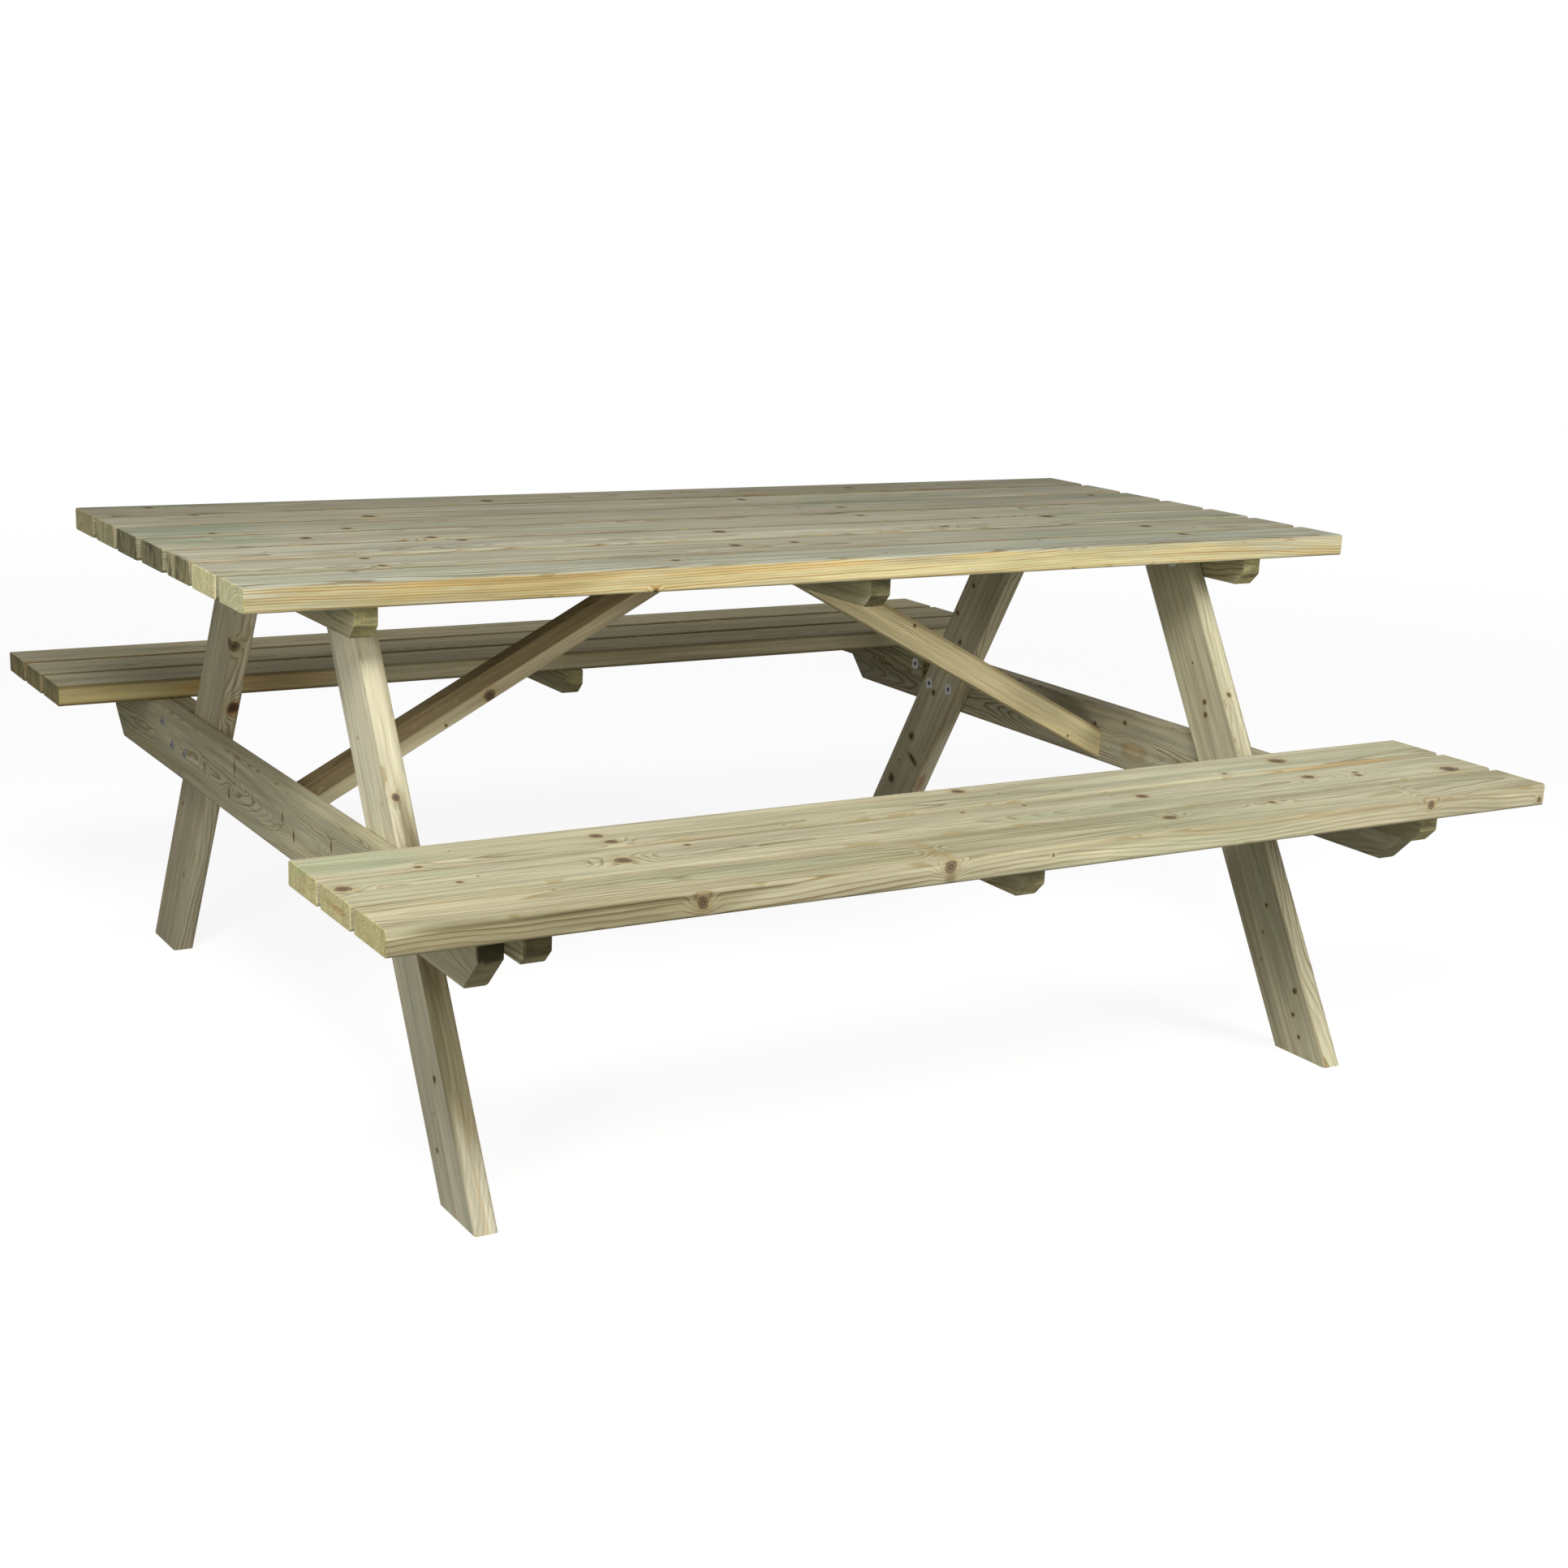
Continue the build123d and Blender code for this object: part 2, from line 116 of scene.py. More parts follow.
# ---------------------------------------------------------------- node helpers
class Graph:
    """Short ways to add nodes to one tree; a value may be a number, a tuple or a socket."""

    def __init__(self, tree):
        self.tree = tree

    def node(self, kind, **settings):
        made = self.tree.nodes.new(kind)
        for name, value in settings.items():
            setattr(made, name, value)
        return made

    def feed(self, socket, value):
        if isinstance(value, bpy.types.NodeSocket):
            self.tree.links.new(value, socket)
        else:
            socket.default_value = value

    def math(self, operation, first, second=0.0, third=0.0):
        made = self.node("ShaderNodeMath", operation=operation)
        for socket, value in zip(made.inputs, (first, second, third)):
            self.feed(socket, value)
        return made.outputs[0]

    def vector(self, operation, first, second=(0, 0, 0)):
        made = self.node("ShaderNodeVectorMath", operation=operation)
        self.feed(made.inputs[0], first)
        self.feed(made.inputs[1], second)
        return made.outputs["Value" if operation in ("LENGTH", "DOT_PRODUCT") else "Vector"]

    def split(self, vector):
        made = self.node("ShaderNodeSeparateXYZ")
        self.feed(made.inputs[0], vector)
        return made.outputs

    def join(self, x, y, z):
        made = self.node("ShaderNodeCombineXYZ")
        for socket, value in zip(made.inputs, (x, y, z)):
            self.feed(socket, value)
        return made.outputs[0]

    def remap(self, value, low, high, to_low=0.0, to_high=1.0):
        """A smooth step from low to high."""
        made = self.node("ShaderNodeMapRange", interpolation_type="SMOOTHSTEP")
        for socket, given in zip(made.inputs, (value, low, high, to_low, to_high)):
            self.feed(socket, given)
        return made.outputs[0]

    def noise(self, vector, scale=1.0, detail=2.0, roughness=0.5):
        made = self.node("ShaderNodeTexNoise")
        self.feed(made.inputs["Vector"], vector)
        self.feed(made.inputs["Scale"], scale)
        self.feed(made.inputs["Detail"], detail)
        self.feed(made.inputs["Roughness"], roughness)
        return made.outputs

    def mix(self, factor, first, second, blend="MIX"):
        made = self.node("ShaderNodeMix", data_type="RGBA", blend_type=blend)
        self.feed(made.inputs[0], factor)
        self.feed(made.inputs[6], opaque(first))
        self.feed(made.inputs[7], opaque(second))
        return made.outputs[2]

    def shader(self, kind, colour):
        made = self.node(kind)
        made.inputs["Color"].default_value = opaque(colour)
        return made.outputs[0]

    def mix_shader(self, factor, first, second):
        made = self.node("ShaderNodeMixShader")
        for socket, value in zip(made.inputs, (factor, first, second)):
            self.feed(socket, value)
        return made.outputs[0]

    def group(self, tree, values):
        """A group node with its inputs fed; returns its outputs."""
        made = self.node("ShaderNodeGroup", node_tree=tree)
        for label, value in values.items():
            self.feed(made.inputs[label], value)
        return made.outputs

    def scale(self, colour, factor):
        """A colour with its brightness multiplied."""
        return self.mix(1.0, colour, self.join(factor, factor, factor), "MULTIPLY")

    def swing(self, value, amount):
        """A factor near one that moves with a 0 to 1 value, by amount in all."""
        return self.math("ADD", self.math("MULTIPLY", self.math("SUBTRACT", value, 0.5), amount), 1.0)

    def curve(self, value, stops):
        """A value read off a line through (place, height) stops."""
        made = self.node("ShaderNodeValToRGB")
        ramp = made.color_ramp
        while len(ramp.elements) < len(stops):
            ramp.elements.new(0.5)
        for element, (place, height) in zip(ramp.elements, stops):
            element.position = place
            element.color = (height, height, height, 1)
        self.feed(made.inputs[0], value)
        return made.outputs[0]


def opaque(colour):
    """A colour tuple with its alpha, or a socket as it is."""
    if isinstance(colour, bpy.types.NodeSocket) or len(colour) == 4:
        return colour
    return (*colour, 1)


def new_group(name, inputs, outputs):
    """An empty node group with (name, type, default) inputs and (name, type) outputs."""
    group = bpy.data.node_groups.new(name, "ShaderNodeTree")
    for label, kind, default in inputs:
        socket = group.interface.new_socket(name=label, in_out="INPUT", socket_type=kind)
        socket.default_value = default
    for label, kind in outputs:
        group.interface.new_socket(name=label, in_out="OUTPUT", socket_type=kind)
    graph = Graph(group)
    return group, graph, graph.node("NodeGroupInput").outputs, graph.node("NodeGroupOutput").inputs


FLOAT = "NodeSocketFloat"
VECTOR = "NodeSocketVector"
COLOUR = "NodeSocketColor"


# ---------------------------------------------------------------- wood
def feature_group():
    """Adds one knot or swirl: how near its middle is, in core radii, and how far it lifts the rings."""
    group, g, given, result = new_group(
        "Feature",
        [("Grain", VECTOR, (0, 0, 0)), ("Centre", VECTOR, (0, 0, 0)), ("Core", VECTOR, (1, 1, 1)),
         ("Reach", VECTOR, (1, 1, 1)), ("Rings", FLOAT, 1.0), ("Near", FLOAT, NO_KNOT_NEAR),
         ("Lift", FLOAT, 0.0)],
        [("Near", FLOAT), ("Lift", FLOAT)])
    offset = g.vector("SUBTRACT", given["Grain"], given["Centre"])
    core = g.vector("LENGTH", g.vector("DIVIDE", offset, given["Core"]))
    reach = g.vector("LENGTH", g.vector("DIVIDE", offset, given["Reach"]))
    lift = g.math("MULTIPLY", g.remap(reach, 1.0, 0.1), given["Rings"])
    g.feed(result["Near"], g.math("MINIMUM", core, given["Near"]))
    g.feed(result["Lift"], g.math("ADD", lift, given["Lift"]))
    return group


def blot_group():
    """Tints a soft patch of a colour."""
    group, g, given, result = new_group(
        "Blot",
        [("Grain", VECTOR, (0, 0, 0)), ("Centre", VECTOR, (0, 0, 0)), ("Size", VECTOR, (1, 1, 1)),
         ("Tint", COLOUR, (1, 1, 1, 1)), ("Amount", FLOAT, 0.5), ("Colour", COLOUR, (1, 1, 1, 1))],
        [("Colour", COLOUR)])
    offset = g.vector("SUBTRACT", given["Grain"], given["Centre"])
    distance = g.vector("LENGTH", g.vector("DIVIDE", offset, given["Size"]))
    ragged = g.noise(g.vector("MULTIPLY", given["Grain"], (7, 60, 60)), 1.0, 3.0)["Fac"]
    distance = g.math("ADD", distance, g.math("MULTIPLY", g.math("SUBTRACT", ragged, 0.5), 1.1))
    inside = g.math("MULTIPLY", g.remap(distance, 1.0, 0.45), given["Amount"])
    patch = g.mix(1.0, given["Colour"], given["Tint"], "MULTIPLY")
    g.feed(result["Colour"], g.mix(inside, given["Colour"], patch))
    return group


def ring_figure(g, given, placed):
    """How far a point is into the dark latewood of its growth ring, 0 to 1."""
    slow = g.noise(g.vector("MULTIPLY", placed, (1.1, 1.0, 1.0)), 1.0, 1.0)["Color"]
    wander = g.vector("MULTIPLY", g.vector("SUBTRACT", slow, (0.5, 0.5, 0.5)), (0, 0.07, 0.07))
    fine = g.noise(g.vector("MULTIPLY", placed, (6, 24, 24)), 1.0, 3.0)["Color"]
    warp = g.vector("MULTIPLY", g.vector("SUBTRACT", fine, (0.5, 0.5, 0.5)), (0, 0.007, 0.007))
    bent = g.vector("ADD", g.vector("ADD", given["Grain"], wander), warp)
    centred = g.vector("SUBTRACT", bent, given["Pith"])
    radius = g.vector("LENGTH", g.vector("MULTIPLY", centred, (0, 1, 1)))
    uneven = g.noise(g.join(g.math("MULTIPLY", radius, 45), given["Seed"], 0.0), 1.0, 1.0)["Fac"]
    count = g.math("ADD", g.math("MULTIPLY", radius, given["Rings"]), g.math("MULTIPLY", uneven, 2.4))
    ring = g.math("FRACT", g.math("ADD", count, given["Lift"]))
    late = g.curve(ring, ((0.0, 0.0), (0.50, 0.06), (0.80, 0.75), (0.91, 1.0), (1.0, 0.0)))
    along = g.math("MULTIPLY", g.split(placed)[0], 1.6)
    strength = g.noise(g.join(g.math("MULTIPLY", radius, 170), along, given["Seed"]))["Fac"]
    return g.math("MULTIPLY", late, g.remap(strength, 0.36, 0.66, 0.20, 1.0))


def tinted(g, given, tint):
    """The wood's pale colour times a tint."""
    return g.mix(1.0, given["Pale"], tint, "MULTIPLY")


def long_grain(g, given, placed, late):
    """Colour of planed faces and edges: rings, streaks, stain, torn arrises and cutter marks."""
    _, across, through = g.split(given["Grain"])
    margin = g.math("SUBTRACT", given["Half"], g.math("ABSOLUTE", across))
    band = g.noise(g.vector("MULTIPLY", placed, (1.7, 30, 30)), 1.0, 3.0)["Fac"]
    streak = g.noise(g.vector("MULTIPLY", placed, (4.8, 120, 120)), 1.0, 2.0)["Fac"]
    fibre = g.noise(g.vector("MULTIPLY", placed, (18, 520, 520)), 1.0, 2.0)["Fac"]
    brown = g.noise(g.vector("MULTIPLY", placed, (1.5, 75, 75)), 1.0, 3.0)["Fac"]
    damp = g.noise(g.vector("MULTIPLY", placed, (1.7, 21, 21)), 1.0, 2.0)["Fac"]

    warm = g.math("MULTIPLY", given["Warm"], g.remap(margin, 0.008, 0.0, 0.10, 1.0))
    line = g.mix(warm, GREY_LINE, ORANGE_LINE)
    line = tinted(g, given, line)
    colour = g.mix(g.math("MULTIPLY", late, given["Contrast"]), given["Pale"], line)
    brown_amount = g.remap(brown, 0.54, 0.72, 0.0, 0.55)
    colour = g.mix(brown_amount, colour, tinted(g, given, BROWN_STREAK))
    stain = g.math("MULTIPLY", g.remap(damp, 0.50, 0.70), given["Stain"])
    colour = g.mix(stain, colour, g.mix(1.0, colour, DAMP_STAIN, "MULTIPLY"))
    for value, amount in ((band, 0.60), (streak, 0.72), (fibre, 0.45)):
        colour = g.scale(colour, g.swing(value, amount))

    # grime and painted shade along the arrises, brown tears there too, and shade on the narrow edges
    near_face = g.remap(g.math("ABSOLUTE", through), 0.009, 0.014)
    at_arris = g.math("MULTIPLY", g.remap(margin, 0.006, 0.001), near_face)
    grimy_and_shaded = g.mix(1.0, colour, ARRIS_GRIME_AND_SHADE, "MULTIPLY")
    colour = g.mix(g.math("MULTIPLY", at_arris, given["Grime and shade"]), colour, grimy_and_shaded)
    on_edge = g.math("MULTIPLY", g.remap(margin, 0.002, 0.0005), given["Edge"])
    colour = g.mix(on_edge, colour, g.mix(1.0, colour, SHADY_EDGE, "MULTIPLY"))
    torn = g.noise(g.vector("MULTIPLY", placed, (22, 60, 60)), 1.0, 3.0)["Fac"]
    torn = g.math("MULTIPLY", at_arris, g.remap(torn, 0.60, 0.68, 0.0, 0.8))
    colour = g.mix(torn, colour, tinted(g, given, TORN_FIBRE))

    # faint cutter marks across the grain, in patches
    marked = g.noise(g.vector("MULTIPLY", placed, (3.2, 11, 11)), 1.0, 1.0)["Fac"]
    wave = g.math("SINE", g.math("MULTIPLY", g.split(placed)[0], CUTTER_WAVE))
    ripple = g.math("MULTIPLY", wave, g.remap(marked, 0.55, 0.70, 0.0, CUTTER_DEPTH))
    ripple = g.math("MULTIPLY", ripple, g.remap(margin, 0.001, 0.004))
    colour = g.scale(colour, g.math("ADD", ripple, 1.0))
    return colour, streak, fibre


def sawn_end(g, given, placed, late):
    """Colour of a cut end: ring arcs, saw marks and dark smears."""
    saw = g.noise(g.vector("MULTIPLY", placed, (1, 640, 420)), 1.0, 2.0)["Fac"]
    smear = g.noise(g.vector("MULTIPLY", placed, (1, 85, 22)), 1.0, 3.0)["Fac"]
    shade = g.math("MULTIPLY", given["End tone"], g.swing(saw, 1.25))
    shade = g.math("MULTIPLY", shade, g.remap(late, 0.0, 1.0, 1.10, 0.60))
    dark = g.math("MULTIPLY", g.remap(smear, 0.40, 0.68), given["End smear"])
    shade = g.math("MULTIPLY", shade, g.math("SUBTRACT", 1.0, dark))
    return g.scale(tinted(g, given, CUT_END), shade), saw


def with_knots(g, given, colour, fine):
    """Knots laid over a colour: a ringed brown core, a darker rim and a soft brown halo."""
    near = g.math("ADD", given["Near"], g.math("MULTIPLY", g.math("SUBTRACT", fine, 0.5), 0.7))
    core_rings = g.remap(g.math("SINE", g.math("MULTIPLY", near, 13)), -1.0, 1.0)
    core = g.mix(core_rings, g.scale(given["Knot tone"], 0.75), g.scale(given["Knot tone"], 1.6))
    colour = g.mix(g.remap(near, 2.6, 0.9, 0.0, 0.6), colour, tinted(g, given, KNOT_HALO))
    colour = g.mix(g.remap(near, 1.3, 0.5, 0.0, 0.95), colour, core)
    rim = g.math("MULTIPLY", g.remap(near, 1.25, 1.0), g.remap(near, 0.65, 0.95))
    return g.mix(g.math("MULTIPLY", rim, 0.45), colour, g.scale(given["Knot tone"], 0.55))


def softwood_group():
    """Colour, roughness and relief of softwood at a point given in grain coordinates."""
    group, g, given, result = new_group(
        "Softwood",
        [("Grain", VECTOR, (0, 0, 0)), ("Half", FLOAT, 0.048), ("Seed", FLOAT, 0.0),
         ("Pith", VECTOR, (0, 0, 0)), ("Rings", FLOAT, RINGS_PER_METRE),
         ("Near", FLOAT, NO_KNOT_NEAR), ("Lift", FLOAT, 0.0), ("End", FLOAT, 0.0),
         ("Pale", COLOUR, (1, 1, 1, 1)),
         ("Knot tone", COLOUR, (0.2, 0.1, 0.1, 1)), ("Contrast", FLOAT, 0.5), ("Warm", FLOAT, 0.2),
         ("Stain", FLOAT, 0.3), ("Grime and shade", FLOAT, 0.3), ("Edge", FLOAT, 0.0),
         ("End tone", FLOAT, 0.8), ("End smear", FLOAT, 0.2)],
        [("Colour", COLOUR), ("Roughness", FLOAT), ("Relief", FLOAT)])
    placed = g.vector("ADD", given["Grain"], g.join(given["Seed"], given["Seed"], given["Seed"]))
    late = ring_figure(g, given, placed)
    face, streak, fibre = long_grain(g, given, placed, late)
    end, saw = sawn_end(g, given, placed, late)
    mottle = g.noise(g.vector("MULTIPLY", placed, (90, 110, 110)), 1.0, 1.0)["Fac"]
    face = with_knots(g, given, face, mottle)
    g.feed(result["Colour"], g.mix(given["End"], face, end))
    g.feed(result["Roughness"], g.remap(streak, 0.3, 0.7, 0.58, 0.72))
    relief = g.math("ADD", g.math("MULTIPLY", late, 0.5), g.math("MULTIPLY", fibre, 0.35))
    rough_end = g.math("MULTIPLY", g.math("MULTIPLY", saw, 2.0), given["End"])
    g.feed(result["Relief"], g.math("ADD", relief, rough_end))
    return group


def grain_frame(node):
    """The directions along, across and through a piece of timber, as columns of a matrix."""
    if "board" in node:
        columns = ((1, 0, 0), (0, 1, 0), (0, 0, 1))
    elif node.endswith("_leg"):
        lean = LEG_TILT * (-1 if node.startswith("front") else 1)
        columns = ((0, -math.sin(lean), math.cos(lean)), (0, math.cos(lean), math.sin(lean)), (-1, 0, 0))
    elif node.endswith("_brace"):
        side = -1 if node.startswith("left") else 1
        columns = ((-side * math.cos(BRACE_ANGLE), 0, math.sin(BRACE_ANGLE)),
                   (side * math.sin(BRACE_ANGLE), 0, math.cos(BRACE_ANGLE)), (0, -side, 0))
    else:
        columns = ((0, 1, 0), (0, 0, 1), (1, 0, 0))
    return Matrix(columns).transposed()


# ---- Marks placed one by one, in millimetres along, across and through a piece from its middle ----
CLEAR_THROUGH = 1000


class Feature(NamedTuple):
    """A knot or swirl: its middle, the radii of its core and of the rings it bends, and by how many."""
    centre: tuple
    core: tuple
    reach: tuple
    rings: float


class Blot(NamedTuple):
    """A soft patch of tint."""
    centre: tuple
    size: tuple
    tint: tuple
    amount: float


def knot(along, across, radius, rings=0.3):
    """A knot through the thickness, bending some rings per millimetre of its radius."""
    return Feature((along, across, 0), (1.1 * radius, radius, CLEAR_THROUGH),
                   (6 * radius, 3.6 * radius, CLEAR_THROUGH), rings * radius)


def edge_knot(along, through, radius):
    """A knot through the width, seen on a narrow edge."""
    return Feature((along, 0, through), (radius, CLEAR_THROUGH, radius),
                   (4.4 * radius, CLEAR_THROUGH, 2.7 * radius), 0.33 * radius)


def nick(along, across, height):
    """A short dark slit across the grain, with rings bent round it."""
    return Feature((along, across, 0), (0.35 * height, height, CLEAR_THROUGH),
                   (5 * height, 2.4 * height, CLEAR_THROUGH), 2.6)


def swirl(along, across, length, height, rings):
    """Oval rings with no knot in the middle."""
    return Feature((along, across, 0), (0.1, 0.1, 0.1), (length, height, CLEAR_THROUGH), rings)


GREEN = (0.80, 0.94, 0.91)
GREY = (0.84, 0.86, 0.90)
YELLOW = (1.03, 0.90, 0.62)
ORANGE = (1.10, 0.88, 0.62)
RED = (0.80, 0.55, 0.42)
# brightens front faces where the light falls on them: a painted highlight
CREAM_HIGHLIGHT = (1.22, 1.22, 1.22)
# a painted pool of light
PAINTED_LIGHT = (1.35, 1.36, 1.38)
BLEACHED = (1.13, 1.16, 1.20)
# dark marks in the wood; on the front-left leg and the seat block's end it is a painted shadow
DARK = (0.50, 0.47, 0.40)
BROWN = (0.66, 0.58, 0.46)
ROSE = (1.42, 1.38, 1.36)
SHADED = (0.64, 0.61, 0.53)
# an olive painted shade
OLIVE_SHADE = (0.80, 0.75, 0.54)
# a grey painted shade
SLATE_SHADE = (0.76, 0.80, 0.84)
# a painted shadow
BLACK_SHADOW = (0.24, 0.24, 0.17)

FEATURES = {
    "tabletop_board_1": (knot(-270, 10, 6), knot(630, 30, 7), knot(-718, 46, 7), edge_knot(-330, -14, 4)),
    "tabletop_board_2": (knot(-120, 0, 8), knot(630, 10, 8), knot(-665, 28, 6), knot(-665, -36, 6),
                         knot(-20, 5, 6)),
    "tabletop_board_3": (knot(-475, 40, 7), knot(-75, 18, 9), knot(540, 40, 11), knot(300, -20, 6)),
    "tabletop_board_4": (knot(-675, 0, 7), knot(-505, -38, 7), knot(240, 12, 6)),
    "tabletop_board_5": (knot(-585, -36, 6), knot(265, -5, 6), knot(800, 32, 6), knot(-780, -35, 5)),
    "tabletop_board_6": (knot(-510, -34, 8), knot(-750, 40, 6), knot(150, 10, 7)),
    "tabletop_board_7": (knot(-265, -20, 8), knot(-790, 20, 6), knot(420, 0, 6)),
    "front_seat_board_1": (knot(240, 10, 8), knot(430, 22, 5), swirl(430, 26, 60, 20, -3),
                           edge_knot(-501, 1, 7), edge_knot(-153, 6, 8), edge_knot(663, 6, 6),
                           edge_knot(881, -7, 4), edge_knot(4, 4, 2)),
    "front_seat_board_2": (knot(-527, -2, 10), knot(-875, 14, 9), knot(825, -29, 12), knot(280, 12, 8),
                           knot(585, 12, 8), knot(665, -7, 5), knot(672, 8, 4), knot(-743, -12, 4),
                           knot(-422, 30, 4), knot(95, 33, 3), knot(-6, 33, 3)),
    "front_seat_board_3": (knot(-507, 5, 7), knot(-501, -26, 7), knot(613, 2, 11), knot(56, 26, 8),
                           knot(483, -31, 4), knot(-762, -40, 4), swirl(-600, 5, 160, 30, 3)),
    "front_left_leg": (edge_knot(113, 5, 5), knot(-246, -18, 4), knot(-330, 20, 3)),
    "front_right_leg": (knot(151, -5, 4), knot(132, 1, 4), knot(-186, -20, 3), knot(-325, -30, 4),
                        knot(-358, -12, 3), knot(-393, -11, 3), edge_knot(147, 2, 4),
                        swirl(-30, 10, 160, 40, 1.5)),
    "back_right_leg": (knot(-119, 15, 7), nick(-152, -14, 15), knot(-231, 20, 8), knot(-3, 8, 5),
                       knot(166, 35, 4), knot(128, -3, 4), knot(237, 24, 4)),
    "back_left_leg": (edge_knot(142, -5, 9), Feature((265, -46, 12), (9, 14, 9), (30, 28, 22), 1.5),
                      knot(-128, 27, 3), knot(-233, -30, 3)),
    "left_brace": (knot(-52, 8, 8),),
    "right_brace": (knot(83, 19, 3), swirl(83, 12, 45, 20, 2.5)),
    "left_crossbeam": (nick(269, -1, 7), nick(125, 30, 8), nick(154, -15, 8), nick(394, -39, 5),
                       nick(-81, 5, 7), nick(-126, -10, 7), nick(-272, 13, 7), swirl(452, 2, 80, 30, -5),
                       swirl(86, 14, 50, 20, -3), swirl(-104, -1, 50, 20, -3), swirl(-290, 5, 70, 24, -3)),
    "right_crossbeam": (knot(-104, 31, 4), knot(-25, 14, 3), swirl(-132, -11, 70, 34, -5)),
}

BLOTS = {
    "tabletop_board_1": (Blot((0, -50, 0), (1600, 5, 60), YELLOW, 1.0),
                         Blot((-300, -48, 10), (560, 6, 8), ORANGE, 0.35),
                         Blot((-700, -48, 0), (420, 6, 40), SHADED, 0.7),
                         # painted highlight on the front face
                         Blot((150, -48, -4), (420, 6, 10), CREAM_HIGHLIGHT, 0.45)),
    "tabletop_board_3": (Blot((-560, 0, 16), (130, 42, 20), GREY, 0.7),
                         Blot((-890, -16, 0), (10, 44, 60), DARK, 0.6)),
    "tabletop_board_4": (Blot((-790, 5, 16), (120, 48, 20), GREEN, 0.8),),
    "tabletop_board_5": (Blot((-800, 10, 16), (150, 50, 20), GREEN, 0.9),
                         Blot((-520, -30, 16), (200, 20, 20), GREEN, 0.6)),
    "front_seat_board_1": (Blot((-700, -48, -2), (330, 8, 26), SHADED, 1.0),
                           Blot((-640, -48, 9), (420, 8, 4), DARK, 0.6),
                           Blot((560, 0, 16), (420, 70, 24), BLEACHED, 0.9),
                           # painted highlight along the front edge
                           Blot((120, -48, -2), (230, 12, 16), CREAM_HIGHLIGHT, 0.7),
                           Blot((-153, -48, -9), (16, 10, 9), DARK, 0.8)),
    "front_seat_board_2": (Blot((-890, 0, 0), (10, 50, 6), RED, 0.5),
                           Blot((560, 0, 16), (420, 70, 24), BLEACHED, 0.9)),
    "front_seat_board_3": (Blot((-830, 10, 16), (110, 50, 20), GREEN, 0.7),
                           Blot((700, -46, 12), (190, 9, 9), ORANGE, 0.9),
                           Blot((560, 0, 16), (420, 70, 24), BLEACHED, 0.9)),
    "back_seat_board_1": (Blot((-560, -48, 0), (170, 9, 20), ORANGE, 0.8),
                          # painted shade over the left end: olive on the front edge, grey on the top
                          Blot((-840, -48, 0), (300, 9, 40), OLIVE_SHADE, 1.0),
                          Blot((-840, 0, 16), (330, 60, 16), SLATE_SHADE, 0.9)),
    # painted shade over the left ends of the tops
    "back_seat_board_2": (Blot((-840, 0, 16), (330, 60, 16), SLATE_SHADE, 0.9),),
    "back_seat_board_3": (Blot((-840, 0, 16), (330, 60, 16), SLATE_SHADE, 0.9),),
    "right_crossbeam": (Blot((-132, -11, 0), (44, 21, CLEAR_THROUGH), BROWN, 0.9),
                        Blot((-132, -11, 0), (34, 16, CLEAR_THROUGH), ROSE, 0.9)),
    # painted shadow on the square part of the front end, under the seat
    "left_crossbeam": (Blot((-750, 25, 0), (9, 50, 60), BLACK_SHADOW, 1.0),),
    # painted shadow on the front cut end, under the seat
    "front_left_seat_block": (Blot((-178, 0, 0), (10, 60, 60), DARK, 1.0),),
    "back_left_leg": (Blot((142, -48, -5), (24, 20, 14), RED, 0.9),),
    "back_right_leg": (Blot((-183, -48, 4), (30, 12, 12), RED, 0.8),),
    # painted shade on the front face: a shadow beside the edge knot, the seat's shadow below the seat with
    # an olive cast, and lighter shade above the seat
    "front_left_leg": (Blot((103, -48, 6), (12, 12, 8), DARK, 0.5),
                       Blot((-130, -48, 0), (330, 12, 40), SHADED, 1.0),
                       Blot((-40, -48, 0), (170, 12, 40), DARK, 0.9),
                       Blot((-10, -48, 0), (60, 12, 40), DARK, 1.0),
                       Blot((-200, -48, 0), (200, 12, 40), OLIVE_SHADE, 0.4),
                       Blot((250, -48, 0), (260, 10, 40), SHADED, 0.35),
                       # painted light on the upper side face
                       Blot((220, 0, 16), (260, 90, 6), PAINTED_LIGHT, 0.95)),
}

